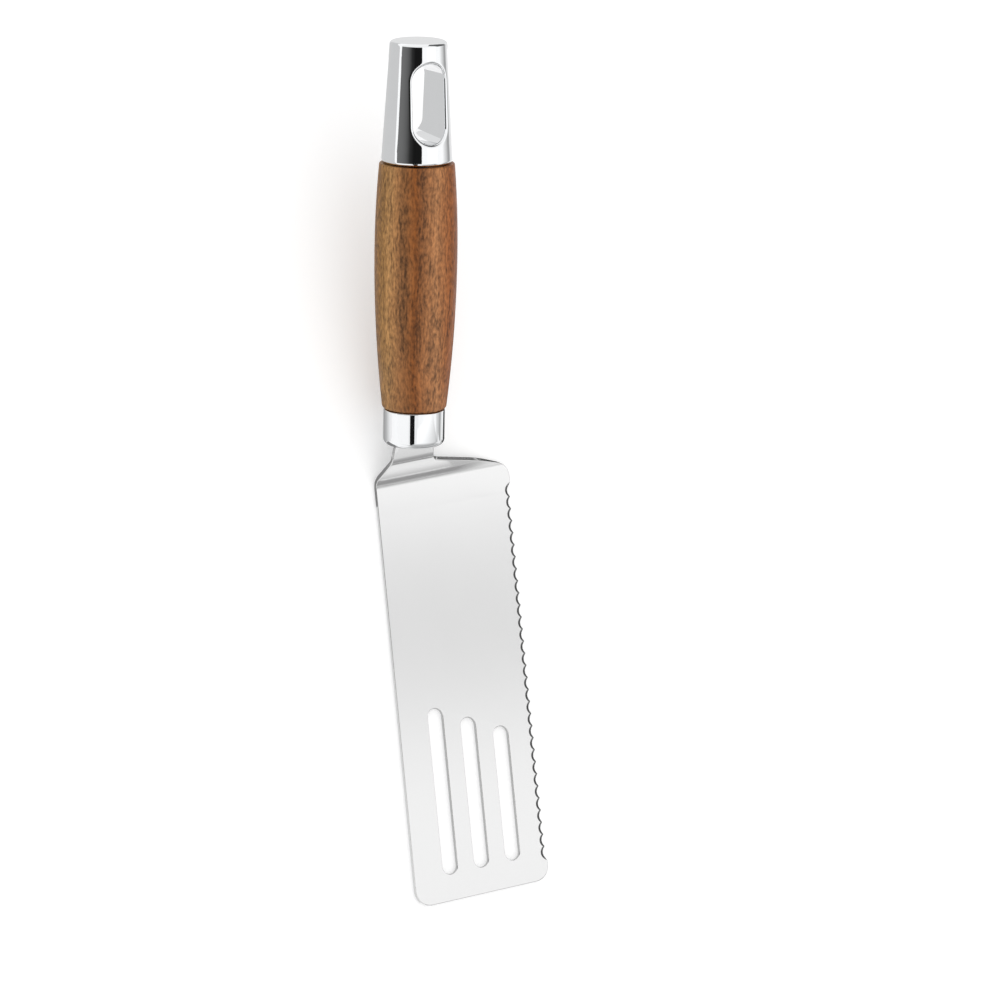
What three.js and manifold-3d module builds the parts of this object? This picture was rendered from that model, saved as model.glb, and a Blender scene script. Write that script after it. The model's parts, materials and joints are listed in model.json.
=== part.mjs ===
// Griddle spatula: a cranked, slotted and serrated steel blade on a turned wood handle with chromed ends.
// Millimetres, +Z up. The origin is the centre of the blade's flat underside.
// +Y runs from the blade to the handle, +X towards the serrated edge.
import * as THREE from 'three';
import { mergeVertices } from 'three/addons/utils/BufferGeometryUtils.js';
import Module from 'manifold-3d';

const wasm = await Module();
wasm.setup();

// Blade sheet
const SHEET = 1.5;
const BLADE_WIDTH = 47.3;
const SPINE_LENGTH = 134.4;
const EDGE_LENGTH = 134.5;
const SKEW = THREE.MathUtils.degToRad(5.8);
const FRONT_CORNER_RADIUS = 5;
const HEEL_CORNER_RADIUS = 5;
const SHOULDER_SLOPE = THREE.MathUtils.degToRad(14);
const SHOULDER_FILLET = 4;
const SPINE_HEEL_RADIUS = 6;

// Drain slots in the blade, the longest on the spine side
const SLOT_COUNT = 3;
const SLOT_WIDTH = 5.25;
const SLOT_PITCH = 11.15;
const SLOT_ROW_OFFSET = 0.35;
const SLOT_FRONT_MARGIN = 8.5;
const LONGEST_SLOT = 53.3;
const SLOT_STEP = 5;

// Serrated edge, ground from the top face
const TOOTH_PITCH = 3.91;
const TOOTH_HOLLOW_RADIUS = 3.1;
const TOOTH_DEPTH = 0.75;
const TOOTH_GRIND_ANGLE = THREE.MathUtils.degToRad(43);
const EDGE_PLAIN = 6.4;

// Crank between the blade and the neck
const RISER_ANGLE = THREE.MathUtils.degToRad(60);
const LOWER_BEND_RADIUS = 4.5;
const UPPER_BEND_RADIUS = 2.5;
const NECK_RISE = 9.7;
const HANDLE_TILT = THREE.MathUtils.degToRad(15.3);
const HANDLE_INSET = 10.25;
const NECK_WIDTH = 13.8;
const NECK_ROOT_WIDTH = 15;
const NECK_LENGTH = 3.2;
const NECK_CORNER_RADIUS = 1;
const TANG_WIDTH = 10;
const TANG_LENGTH = 24;
const TANG_CORNER_RADIUS = 1.2;

// Ferrule
const FERRULE_RADIUS = 9.8;
const FERRULE_LENGTH = 11.6;
const FERRULE_WALL = 1.2;
const FERRULE_FRONT = 1.6;
const FERRULE_FILLET = 2.2;

// Wood grip
const GRIP_LENGTH = 79.2;
const GRIP_FRONT_RADIUS = 10.2;
const GRIP_SWELL_RADIUS = 13.2;
const GRIP_REAR_RADIUS = 12;
const GRIP_SWELL_AT = 50.5;
const GRIP_FRONT_ROUND = 1.2;
const GRIP_REAR_ROUND = 0.5;
const COUNTERBORE_RADIUS = 7.5;
const COUNTERBORE_DEPTH = 24;

// Core rod, its cross pin, washer and nut
const ROD_RADIUS = 3;
const ROD_FRONT = 6;
const ROD_OVERRUN = 2.5;
const ROD_CHAMFER = 0.6;
const PIN_RADIUS = 1.2;
const PIN_AT = 15;
const PIN_CHAMFER = 0.3;
const WASHER_RADIUS = 6;
const WASHER_HEIGHT = 1.6;
const NUT_SIDES = 6;
const NUT_FLATS = 10;
const NUT_HEIGHT = 5.2;
const NUT_CHAMFER = 0.6;

// End cap with its hang slot
const CAP_LENGTH = 38.7;
const CAP_BASE_RADIUS = 11.5;
const CAP_END_RADIUS = 9.1;
const CAP_BASE_ROUND = 1.2;
const CAP_END_ROUND = 1.1;
const SPIGOT_LENGTH = 12;
const SPIGOT_CHAMFER = 0.8;
const HANG_SLOT_WIDTH = 11.2;
const HANG_SLOT_LENGTH = 25.3;
const HANG_SLOT_INSET = 6.4;
const HANG_RIM_ROUND = 1.3;

// Gap left between neighbouring pieces, and how finely round forms are divided
const CLEARANCE = 0.3;
const ROUND_SIDES = 48;
const SMALL_ROUND_SIDES = 24;
const ARC_STEPS = 6;
const SWELL_STEPS = 6;
const HOLLOW_SIDES = 24;
const SLOT_END_STEPS = 10;
const BEND_STEP = THREE.MathUtils.degToRad(8);
const CHORD_ERROR = 0.03;
const FLATNESS = 1e-3;
const MERGE_DISTANCE = 1e-4;

// Places along the handle, measured from the front face of the ferrule
const tenonFront = FERRULE_FRONT + CLEARANCE;
const tenonRadius = FERRULE_RADIUS - FERRULE_WALL - CLEARANCE;
const gripFront = FERRULE_LENGTH + CLEARANCE;
const gripRear = gripFront + GRIP_LENGTH;
const counterboreFloor = gripRear - COUNTERBORE_DEPTH;
const washerFront = counterboreFloor + CLEARANCE;
const nutFront = washerFront + WASHER_HEIGHT + CLEARANCE;
const rodRear = nutFront + NUT_HEIGHT + ROD_OVERRUN;
const capBase = gripRear + CLEARANCE;
const capEnd = capBase + CAP_LENGTH;
const boreRadius = ROD_RADIUS + CLEARANCE;
const slotGap = SHEET + 2 * CLEARANCE;
const throughRod = 2 * (ROD_RADIUS + CLEARANCE);

// Solid from a closed geometry, ready to be joined or cut
function toSolid(geometry) {
  const bare = geometry.clone();
  bare.deleteAttribute('normal');
  bare.deleteAttribute('uv');
  const merged = mergeVertices(bare, MERGE_DISTANCE);
  const corners = merged.index.array;
  const kept = [];
  for (let i = 0; i < corners.length; i += 3) {
    const [a, b, c] = [corners[i], corners[i + 1], corners[i + 2]];
    if (a !== b && b !== c && c !== a) {
      kept.push(a, b, c);
    }
  }
  const vertProperties = new Float32Array(merged.attributes.position.array);
  const triVerts = new Uint32Array(kept);
  return new wasm.Manifold(new wasm.Mesh({ numProp: 3, vertProperties, triVerts }));
}

function toGeometry(solid) {
  const { vertProperties, triVerts } = solid.getMesh();
  return meshGeometry(vertProperties, triVerts);
}

function meshGeometry(positions, corners) {
  const geometry = new THREE.BufferGeometry();
  geometry.setAttribute('position', new THREE.BufferAttribute(new Float32Array(positions), 3));
  geometry.setIndex(new THREE.BufferAttribute(new Uint32Array(corners), 1));
  geometry.computeVertexNormals();
  return geometry;
}

// Body of revolution about the Y axis, its profile walked up the outside
function turned(profile, sides) {
  const points = profile.map(([radius, along]) => new THREE.Vector2(radius, along));
  return toSolid(new THREE.LatheGeometry(points, sides));
}

// Quarter round in a profile: from one heading to another about a centre
function roundCorner([centreRadius, centreAlong], radius, from, to) {
  const points = [];
  for (let i = 0; i <= ARC_STEPS; i += 1) {
    const angle = THREE.MathUtils.degToRad(from + (to - from) * i / ARC_STEPS);
    points.push([centreRadius + radius * Math.cos(angle), centreAlong + radius * Math.sin(angle)]);
  }
  return points;
}

// Block centred on the handle axis between two places along it
function block(width, from, to, thickness) {
  const geometry = new THREE.BoxGeometry(width, to - from, thickness);
  return toSolid(geometry.translate(0, (from + to) / 2, 0));
}

// Round bar across the handle, along the hole axis of the tang
function crossBar(radius, along, length) {
  const geometry = new THREE.CylinderGeometry(radius, radius, length, SMALL_ROUND_SIDES);
  return toSolid(geometry.rotateX(Math.PI / 2).translate(0, along, 0));
}

// Closed outline through sharp corners [x, y, radius], each rounded by a tangent arc
function roundedShape(corners) {
  const points = corners.flatMap(([x, y, radius], i) => {
    const corner = new THREE.Vector2(x, y);
    const before = new THREE.Vector2(...corners.at(i - 1));
    const after = new THREE.Vector2(...corners[(i + 1) % corners.length]);
    const into = corner.clone().sub(before).normalize();
    const out = after.sub(corner).normalize();
    const turn = Math.atan2(into.cross(out), into.dot(out));
    const start = corner.addScaledVector(into, -radius * Math.tan(Math.abs(turn) / 2));
    const leftward = new THREE.Vector2(-into.y, into.x);
    const centre = start.clone().addScaledVector(leftward, Math.sign(turn) * radius);
    const steps = Math.ceil(Math.abs(turn) / (2 * Math.acos(1 - CHORD_ERROR / radius)));
    const arc = Array.from({ length: steps + 1 }, (_, step) => turn * step / steps);
    return arc.map((angle) => start.clone().rotateAround(centre, angle));
  });
  return new THREE.Shape(points);
}

// Straight slot with round ends, along Y
function slotPath(centreX, from, to, width) {
  const path = new THREE.Path();
  const half = width / 2;
  path.absarc(centreX, to - half, half, 0, Math.PI, false);
  path.absarc(centreX, from + half, half, Math.PI, 2 * Math.PI, false);
  path.closePath();
  return path;
}

// The neck's pitch about the skewed bend lines that gives the handle its tilt
const skewSquared = Math.tan(SKEW) ** 2;
const tiltSquared = Math.sin(HANDLE_TILT) ** 2;
const neckPitch = Math.asin(Math.sqrt(tiltSquared * (1 + skewSquared) / (1 + tiltSquared * skewSquared)));

// Crank: stretches of sheet with the angle that each one turns through
const lowerRise = LOWER_BEND_RADIUS * (1 - Math.cos(RISER_ANGLE));
const upperRise = UPPER_BEND_RADIUS * (Math.cos(neckPitch) - Math.cos(RISER_ANGLE));
const riserLength = (NECK_RISE - lowerRise - upperRise) / Math.sin(RISER_ANGLE);
const crank = [
  { length: LOWER_BEND_RADIUS * RISER_ANGLE, turn: RISER_ANGLE },
  { length: riserLength, turn: 0 },
  { length: UPPER_BEND_RADIUS * (RISER_ANGLE - neckPitch), turn: neckPitch - RISER_ANGLE },
];
const crankLength = crank.reduce((sum, { length }) => sum + length, 0);

// The bend lines run along bendLine; the crank rises along acrossBend, from a point on the spine
const halfWidth = BLADE_WIDTH / 2;
const halfSpine = SPINE_LENGTH / 2;
const bendLine = new THREE.Vector2(Math.cos(SKEW), Math.sin(SKEW));
const acrossBend = new THREE.Vector2(-Math.sin(SKEW), Math.cos(SKEW));
const bendStart = new THREE.Vector2(-halfWidth, halfSpine);

// Middle of the folded sheet at a distance along the crank
function crankAt(distance) {
  let along = Math.min(distance, 0);
  let left = Math.max(distance, 0);
  let rise = 0;
  let slope = 0;
  for (const { length, turn } of crank) {
    const part = Math.min(left, length);
    const bend = turn * part / length;
    const chord = bend === 0 ? part : 2 * Math.sin(bend / 2) * length / turn;
    along += chord * Math.cos(slope + bend / 2);
    rise += chord * Math.sin(slope + bend / 2);
    slope += bend;
    left -= part;
  }
  along += left * Math.cos(slope);
  rise += left * Math.sin(slope);
  return { along, rise, slope };
}

// Distance of a blank's point past the first bend line
function pastBend(point) {
  return acrossBend.dot(new THREE.Vector2(point.x, point.y).sub(bendStart));
}

// A point of the flat blank, carried to its place on the folded sheet
function fold(point) {
  const fromStart = new THREE.Vector2(point.x, point.y).sub(bendStart);
  const { along, rise, slope } = crankAt(pastBend(point));
  const height = point.z - SHEET / 2;
  const reach = along - height * Math.sin(slope);
  const place = bendStart.clone().addScaledVector(bendLine, bendLine.dot(fromStart));
  place.addScaledVector(acrossBend, reach);
  return new THREE.Vector3(place.x, place.y, SHEET / 2 + rise + height * Math.cos(slope));
}

// Neck on the flat blank: its direction, and the middle of its root and end
const neckSway = Math.atan(Math.cos(neckPitch) * Math.tan(SKEW));
const neckWay = acrossBend.clone().multiplyScalar(Math.cos(neckSway));
neckWay.addScaledVector(bendLine, Math.sin(neckSway));
const neckSide = new THREE.Vector2(neckWay.y, -neckWay.x);
const rootReach = crankAt(crankLength).along * Math.sin(SKEW);
const rootAlongBend = (HANDLE_INSET + rootReach) / Math.cos(SKEW);
const neckRoot = bendStart.clone().addScaledVector(bendLine, rootAlongBend);
neckRoot.addScaledVector(acrossBend, crankLength);
const neckEnd = neckRoot.clone().addScaledVector(neckWay, NECK_LENGTH);

// A corner on the neck: so far along it from its end, and so far to its side
function neckCorner(along, side, radius) {
  const corner = neckEnd.clone().addScaledVector(neckWay, along).addScaledVector(neckSide, side);
  return [corner.x, corner.y, radius];
}

// Where the shoulder line from the heel meets the side of the neck
function shoulderCorner(heelX, heelY) {
  const along = new THREE.Vector2(-Math.cos(SHOULDER_SLOPE), Math.sin(SHOULDER_SLOPE));
  const start = neckEnd.clone().addScaledVector(neckSide, NECK_WIDTH / 2);
  const gap = start.clone().sub(new THREE.Vector2(heelX, heelY));
  const reach = gap.cross(neckWay) / along.cross(neckWay);
  return [heelX + along.x * reach, heelY + along.y * reach, SHOULDER_FILLET];
}

// Flat blank of the blade, neck and tang, with its drain slots
function bladeBlank() {
  const frontRise = BLADE_WIDTH * Math.tan(SKEW);
  const heelY = EDGE_LENGTH + frontRise - halfSpine;
  const tangEnd = TANG_LENGTH + CLEARANCE;
  const heelSetback = LOWER_BEND_RADIUS * RISER_ANGLE / 2;
  const blank = roundedShape([
    [-halfWidth, -halfSpine, FRONT_CORNER_RADIUS],
    [halfWidth, frontRise - halfSpine, FRONT_CORNER_RADIUS],
    [halfWidth, heelY, HEEL_CORNER_RADIUS],
    shoulderCorner(halfWidth, heelY),
    neckCorner(0, NECK_WIDTH / 2, NECK_CORNER_RADIUS),
    neckCorner(0, TANG_WIDTH / 2, NECK_CORNER_RADIUS),
    neckCorner(tangEnd, TANG_WIDTH / 2, TANG_CORNER_RADIUS),
    neckCorner(tangEnd, -TANG_WIDTH / 2, TANG_CORNER_RADIUS),
    neckCorner(0, -TANG_WIDTH / 2, NECK_CORNER_RADIUS),
    neckCorner(0, -NECK_WIDTH / 2, NECK_CORNER_RADIUS),
    neckCorner(-NECK_LENGTH, -NECK_ROOT_WIDTH / 2, NECK_CORNER_RADIUS),
    [-halfWidth, halfSpine + heelSetback, SPINE_HEEL_RADIUS],
  ]);
  for (let i = 0; i < SLOT_COUNT; i += 1) {
    const x = SLOT_ROW_OFFSET + (i - (SLOT_COUNT - 1) / 2) * SLOT_PITCH;
    const front = (x + halfWidth) * Math.tan(SKEW) - halfSpine + SLOT_FRONT_MARGIN;
    blank.holes.push(slotPath(x, front, front + LONGEST_SLOT - i * SLOT_STEP, SLOT_WIDTH));
  }
  const settings = { depth: SHEET, bevelEnabled: false, curveSegments: SLOT_END_STEPS };
  return new THREE.ExtrudeGeometry(blank, settings);
}

// Row of hollows ground into the blade's edge, each by a wheel that leans over the top face
function groundHollows() {
  const count = Math.floor((EDGE_LENGTH - 2 * EDGE_PLAIN) / TOOTH_PITCH);
  const edgeMiddle = EDGE_LENGTH / 2 + BLADE_WIDTH * Math.tan(SKEW) - halfSpine;
  const wheelLength = 2 * (SHEET + TOOTH_HOLLOW_RADIUS) / Math.cos(TOOTH_GRIND_ANGLE);
  const wheel = new THREE.CylinderGeometry(
    TOOTH_HOLLOW_RADIUS, TOOTH_HOLLOW_RADIUS, wheelLength, HOLLOW_SIDES);
  wheel.rotateX(Math.PI / 2).rotateY(-TOOTH_GRIND_ANGLE);
  const wheelX = halfWidth - TOOTH_DEPTH + TOOTH_HOLLOW_RADIUS / Math.cos(TOOTH_GRIND_ANGLE);
  const hollows = [];
  for (let i = 0; i < count; i += 1) {
    const y = edgeMiddle + (i - (count - 1) / 2) * TOOTH_PITCH;
    hollows.push(toSolid(wheel.clone().translate(wheelX, y, 0)));
  }
  return wasm.Manifold.union(hollows);
}

// Distances past the first bend line at which the sheet is divided so that it can bend
function bendStations() {
  const stations = [0];
  let start = 0;
  for (const { length, turn } of crank) {
    const steps = Math.max(1, Math.ceil(Math.abs(turn) / BEND_STEP));
    for (let i = 1; i <= steps; i += 1) {
      stations.push(start + length * i / steps);
    }
    start += length;
  }
  return stations;
}

// Splits the triangles of a sheet along one line across it, so that it can bend there
function splitAcross(sheet, station) {
  const { points } = sheet;
  const offsets = points.map((point) => pastBend(point) - station);
  const sideOf = (i) => (Math.abs(offsets[i]) < MERGE_DISTANCE ? 0 : Math.sign(offsets[i]));
  const made = new Map();
  const crossing = (a, b) => {
    const [low, high] = a < b ? [a, b] : [b, a];
    const key = `${low} ${high}`;
    if (!made.has(key)) {
      const share = offsets[low] / (offsets[low] - offsets[high]);
      made.set(key, points.push(points[low].clone().lerp(points[high], share)) - 1);
    }
    return made.get(key);
  };
  const splitTriangle = (triangle) => {
    const sides = triangle.map(sideOf);
    if (!sides.includes(1) || !sides.includes(-1)) {
      return [triangle];
    }
    const onLine = sides.indexOf(0);
    const lone = sides.indexOf(-(sides[0] + sides[1] + sides[2]));
    const first = onLine < 0 ? lone : onLine;
    const [a, b, c] = [0, 1, 2].map((step) => triangle[(first + step) % 3]);
    if (onLine >= 0) {
      const middle = crossing(b, c);
      return [[a, b, middle], [a, middle, c]];
    }
    const onB = crossing(a, b);
    const onC = crossing(a, c);
    return [[a, onB, onC], [onB, b, c], [onB, c, onC]];
  };
  sheet.triangles = sheet.triangles.flatMap(splitTriangle);
}

// Blade: stamped blank with its ground edge, folded along the crank
function bladeGeometry() {
  const flat = toSolid(bladeBlank()).subtract(groundHollows()).getMesh();
  const sheet = { points: [], triangles: [] };
  for (let i = 0; i < flat.vertProperties.length; i += 3) {
    sheet.points.push(new THREE.Vector3().fromArray(flat.vertProperties, i));
  }
  for (let i = 0; i < flat.triVerts.length; i += 3) {
    sheet.triangles.push([...flat.triVerts.slice(i, i + 3)]);
  }
  bendStations().forEach((station) => splitAcross(sheet, station));
  const folded = sheet.points.flatMap((point) => fold(point).toArray());
  const pinHole = crossBar(PIN_RADIUS + CLEARANCE, PIN_AT, throughRod);
  const placedHole = pinHole.transform(handleFrame().elements);
  const blade = toSolid(meshGeometry(folded, sheet.triangles.flat())).subtract(placedHole);
  return toGeometry(blade.simplify(FLATNESS));
}

// Ferrule: drawn cup with a round front edge and a slot for the tang
function ferruleGeometry() {
  const bore = FERRULE_RADIUS - FERRULE_WALL;
  const roundCentre = [FERRULE_RADIUS - FERRULE_FILLET, FERRULE_FILLET];
  const cup = turned([
    [0, 0],
    ...roundCorner(roundCentre, FERRULE_FILLET, -90, 0),
    [FERRULE_RADIUS, FERRULE_LENGTH],
    [bore, FERRULE_LENGTH],
    [bore, FERRULE_FRONT],
    [0, FERRULE_FRONT],
  ], ROUND_SIDES);
  const tangSlot = block(TANG_WIDTH + 2 * CLEARANCE, -FERRULE_FRONT, tenonFront, slotGap);
  return toGeometry(cup.subtract(tangSlot));
}

// Radius of the wood at a distance along the grip: two parabolas that meet at the swell
function gripRadius(along) {
  const toFront = along < GRIP_SWELL_AT;
  const endRadius = toFront ? GRIP_FRONT_RADIUS : GRIP_REAR_RADIUS;
  const span = toFront ? GRIP_SWELL_AT : GRIP_LENGTH - GRIP_SWELL_AT;
  return GRIP_SWELL_RADIUS - (GRIP_SWELL_RADIUS - endRadius) * ((along - GRIP_SWELL_AT) / span) ** 2;
}

// Swelling side of the grip between its rounded ends
function gripSide() {
  const points = [];
  const start = GRIP_FRONT_ROUND;
  const end = GRIP_LENGTH - GRIP_REAR_ROUND;
  for (let i = 0; i <= 2 * SWELL_STEPS; i += 1) {
    const along = start + (end - start) * i / (2 * SWELL_STEPS);
    points.push([gripRadius(along), gripFront + along]);
  }
  return points;
}

// Wood grip: barrel with a front tenon, rod bore, rear counterbore and the tang's mortise
function gripGeometry() {
  const frontRound = [gripRadius(GRIP_FRONT_ROUND) - GRIP_FRONT_ROUND, gripFront + GRIP_FRONT_ROUND];
  const rearRadius = gripRadius(GRIP_LENGTH - GRIP_REAR_ROUND);
  const rearRound = [rearRadius - GRIP_REAR_ROUND, gripRear - GRIP_REAR_ROUND];
  const barrel = turned([
    [boreRadius, tenonFront],
    [tenonRadius, tenonFront],
    [tenonRadius, gripFront],
    ...roundCorner(frontRound, GRIP_FRONT_ROUND, -90, 0).slice(0, -1),
    ...gripSide(),
    ...roundCorner(rearRound, GRIP_REAR_ROUND, 0, 90).slice(1),
    [COUNTERBORE_RADIUS, gripRear],
    [COUNTERBORE_RADIUS, counterboreFloor],
    [boreRadius, counterboreFloor],
    [boreRadius, tenonFront],
  ], ROUND_SIDES);
  const mortise = block(TANG_WIDTH + 2 * CLEARANCE, 0, TANG_LENGTH + CLEARANCE, slotGap);
  return toGeometry(barrel.subtract(mortise));
}

// Core rod: round bar, forked over the tang and chamfered at its threaded end
function rodGeometry() {
  const bar = turned([
    [0, ROD_FRONT],
    [ROD_RADIUS - ROD_CHAMFER, ROD_FRONT],
    [ROD_RADIUS, ROD_FRONT + ROD_CHAMFER],
    [ROD_RADIUS, rodRear - ROD_CHAMFER],
    [ROD_RADIUS - ROD_CHAMFER, rodRear],
    [0, rodRear],
  ], SMALL_ROUND_SIDES);
  const fork = block(TANG_WIDTH, 0, TANG_LENGTH + CLEARANCE, slotGap);
  const pinHole = crossBar(PIN_RADIUS + CLEARANCE, PIN_AT, throughRod);
  return toGeometry(bar.subtract(fork).subtract(pinHole));
}

// Cross pin through the fork and the tang
function pinGeometry() {
  const half = ROD_RADIUS - CLEARANCE;
  const pin = turned([
    [0, -half],
    [PIN_RADIUS - PIN_CHAMFER, -half],
    [PIN_RADIUS, PIN_CHAMFER - half],
    [PIN_RADIUS, half - PIN_CHAMFER],
    [PIN_RADIUS - PIN_CHAMFER, half],
    [0, half],
  ], SMALL_ROUND_SIDES);
  return toGeometry(pin).rotateX(Math.PI / 2).translate(0, PIN_AT, 0);
}

// Washer on the counterbore's floor
function washerGeometry() {
  const washerRear = washerFront + WASHER_HEIGHT;
  return toGeometry(turned([
    [boreRadius, washerFront],
    [WASHER_RADIUS, washerFront],
    [WASHER_RADIUS, washerRear],
    [boreRadius, washerRear],
    [boreRadius, washerFront],
  ], SMALL_ROUND_SIDES));
}

// Hexagon nut: six flats, corners turned off at both ends
function nutGeometry() {
  const nutRear = nutFront + NUT_HEIGHT;
  const faceRadius = NUT_FLATS / 2;
  const cornerRadius = faceRadius / Math.cos(Math.PI / NUT_SIDES);
  const hexagon = new THREE.CylinderGeometry(cornerRadius, cornerRadius, NUT_HEIGHT, NUT_SIDES);
  const blank = turned([
    [boreRadius, nutFront],
    [faceRadius, nutFront],
    [cornerRadius + CLEARANCE, nutFront + NUT_CHAMFER],
    [cornerRadius + CLEARANCE, nutRear - NUT_CHAMFER],
    [faceRadius, nutRear],
    [boreRadius, nutRear],
    [boreRadius, nutFront],
  ], SMALL_ROUND_SIDES);
  return toGeometry(blank.intersect(toSolid(hexagon.translate(0, nutFront + NUT_HEIGHT / 2, 0))));
}

// Radius of the cap's cone at a place along the handle
function capRadius(along) {
  return THREE.MathUtils.mapLinear(along, capBase, capEnd, CAP_BASE_RADIUS, CAP_END_RADIUS);
}

// Outline of the hang slot, grown outwards by a margin, as [x, y] around its middle
function hangOutline(margin) {
  const end = HANG_SLOT_LENGTH / 2 - HANG_SLOT_WIDTH / 2;
  const radius = HANG_SLOT_WIDTH / 2 + margin;
  const middle = capEnd - HANG_SLOT_INSET - HANG_SLOT_LENGTH / 2;
  const points = [];
  for (const [centre, start] of [[middle + end, 0], [middle - end, Math.PI]]) {
    for (let i = 0; i <= SLOT_END_STEPS; i += 1) {
      const angle = start + Math.PI * i / SLOT_END_STEPS;
      points.push([radius * Math.cos(angle), centre + radius * Math.sin(angle)]);
    }
  }
  return points;
}

// One ring of the slot's cutter: the outline at a depth under the cap's round surface
function hangRing(margin, depth, side) {
  return hangOutline(margin).map(([x, y]) => {
    const surface = Math.sqrt(capRadius(y) ** 2 - x ** 2);
    return new THREE.Vector3(x, y, side * (surface - depth));
  });
}

// Cutter of the hang slot: a straight passage whose rim flares out in a round on both faces
function hangCutter() {
  const flare = [[HANG_RIM_ROUND, -CLEARANCE]];
  for (let i = 1; i <= ARC_STEPS; i += 1) {
    const angle = Math.PI / 2 * i / ARC_STEPS;
    flare.push([HANG_RIM_ROUND * (1 - Math.sin(angle)), HANG_RIM_ROUND * (1 - Math.cos(angle))]);
  }
  const clear = (side) => {
    const height = side * 2 * CAP_BASE_RADIUS;
    return hangOutline(HANG_RIM_ROUND).map(([x, y]) => new THREE.Vector3(x, y, height));
  };
  const upper = flare.map(([margin, depth]) => hangRing(margin, depth, 1));
  const lower = flare.map(([margin, depth]) => hangRing(margin, depth, -1));
  return toSolid(skinnedRings([clear(-1), ...lower, ...upper.reverse(), clear(1)]));
}

// Closed skin over a stack of rings, with a flat fan over each end ring
function skinnedRings(rings) {
  const count = rings[0].length;
  const points = rings.flat();
  const last = (rings.length - 1) * count;
  const corners = [];
  for (let ring = 0; ring < rings.length - 1; ring += 1) {
    for (let i = 0; i < count; i += 1) {
      const a = ring * count + i;
      const b = ring * count + (i + 1) % count;
      corners.push(a, b, b + count, a, b + count, a + count);
    }
  }
  for (let i = 1; i < count - 1; i += 1) {
    corners.push(0, i + 1, i, last, last + i, last + i + 1);
  }
  return meshGeometry(points.flatMap((point) => point.toArray()), corners);
}

// End cap: tapered casting with a spigot for the counterbore and a hang slot
function capGeometry() {
  const spigotRadius = COUNTERBORE_RADIUS - CLEARANCE;
  const spigotFront = capBase - SPIGOT_LENGTH;
  const baseRound = [capRadius(capBase + CAP_BASE_ROUND) - CAP_BASE_ROUND, capBase + CAP_BASE_ROUND];
  const endRound = [capRadius(capEnd - CAP_END_ROUND) - CAP_END_ROUND, capEnd - CAP_END_ROUND];
  const casting = turned([
    [0, spigotFront],
    [spigotRadius - SPIGOT_CHAMFER, spigotFront],
    [spigotRadius, spigotFront + SPIGOT_CHAMFER],
    [spigotRadius, capBase],
    ...roundCorner(baseRound, CAP_BASE_ROUND, -90, 0),
    ...roundCorner(endRound, CAP_END_ROUND, 0, 90),
    [0, capEnd],
  ], ROUND_SIDES);
  return toGeometry(casting.subtract(hangCutter()));
}

// Finishes
const finishes = {
  satinSteel: { color: 0xc9cbcc, roughness: 0.38, metalness: 1 },
  polishedSteel: { color: 0xd4d6d8, roughness: 0.12, metalness: 1 },
  chrome: { color: 0xdfe1e3, roughness: 0.06, metalness: 1 },
  wood: { color: 0x8a4a2a, roughness: 0.5, metalness: 0 },
  plainSteel: { color: 0xa9abac, roughness: 0.45, metalness: 1 },
};

function piece(name, geometry, finish) {
  const mesh = new THREE.Mesh(geometry, new THREE.MeshStandardMaterial(finishes[finish]));
  mesh.name = name;
  return mesh;
}

// The handle stands on the end of the folded neck, with its own Y along the tang
function handleFrame() {
  const neckMiddle = (along) => {
    const point = neckEnd.clone().addScaledVector(neckWay, along);
    return fold(new THREE.Vector3(point.x, point.y, SHEET / 2));
  };
  const start = neckMiddle(CLEARANCE);
  const along = neckMiddle(CLEARANCE + TANG_LENGTH).sub(start).normalize();
  const upright = new THREE.Vector3(0, 0, Math.cos(neckPitch));
  upright.x = -Math.sin(neckPitch) * acrossBend.x;
  upright.y = -Math.sin(neckPitch) * acrossBend.y;
  const across = along.clone().cross(upright);
  return new THREE.Matrix4().makeBasis(across, along, upright).setPosition(start);
}

const handle = new THREE.Group();
handle.name = 'handle';
handle.applyMatrix4(handleFrame());
handle.add(
  piece('ferrule', ferruleGeometry(), 'polishedSteel'),
  piece('wood_grip', gripGeometry(), 'wood'),
  piece('core_rod', rodGeometry(), 'plainSteel'),
  piece('tang_pin', pinGeometry(), 'plainSteel'),
  piece('clamp_washer', washerGeometry(), 'plainSteel'),
  piece('clamp_nut', nutGeometry(), 'plainSteel'),
  piece('end_cap', capGeometry(), 'chrome'),
);

const spatula = new THREE.Group();
spatula.name = 'griddle_spatula';
spatula.add(piece('blade', bladeGeometry(), 'satinSteel'), handle);

export default spatula;
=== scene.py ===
# %% [markdown]
# # Dressing a griddle spatula
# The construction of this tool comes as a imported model: eight solids at their real size, in metres, in one
# frame. The blade lies flat on the ground and the handle rises towards +Y. This lesson keeps those solids as
# the frame, builds finer meshes for the four pieces that show, and gives each piece its finish.

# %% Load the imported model
import json
import math

import bmesh
import bpy
from mathutils import Matrix, Vector


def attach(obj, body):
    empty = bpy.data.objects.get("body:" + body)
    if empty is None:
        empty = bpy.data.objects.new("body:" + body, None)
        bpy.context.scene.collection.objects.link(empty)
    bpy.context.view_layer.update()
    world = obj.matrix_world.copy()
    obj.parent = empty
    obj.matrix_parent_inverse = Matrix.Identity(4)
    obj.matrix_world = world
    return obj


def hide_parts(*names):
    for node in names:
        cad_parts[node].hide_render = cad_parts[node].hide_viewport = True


MM = 1000


def in_mm(*lengths):
    """Lengths in millimetres, for printing."""
    return [round(MM * length, 2) for length in lengths]


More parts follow.
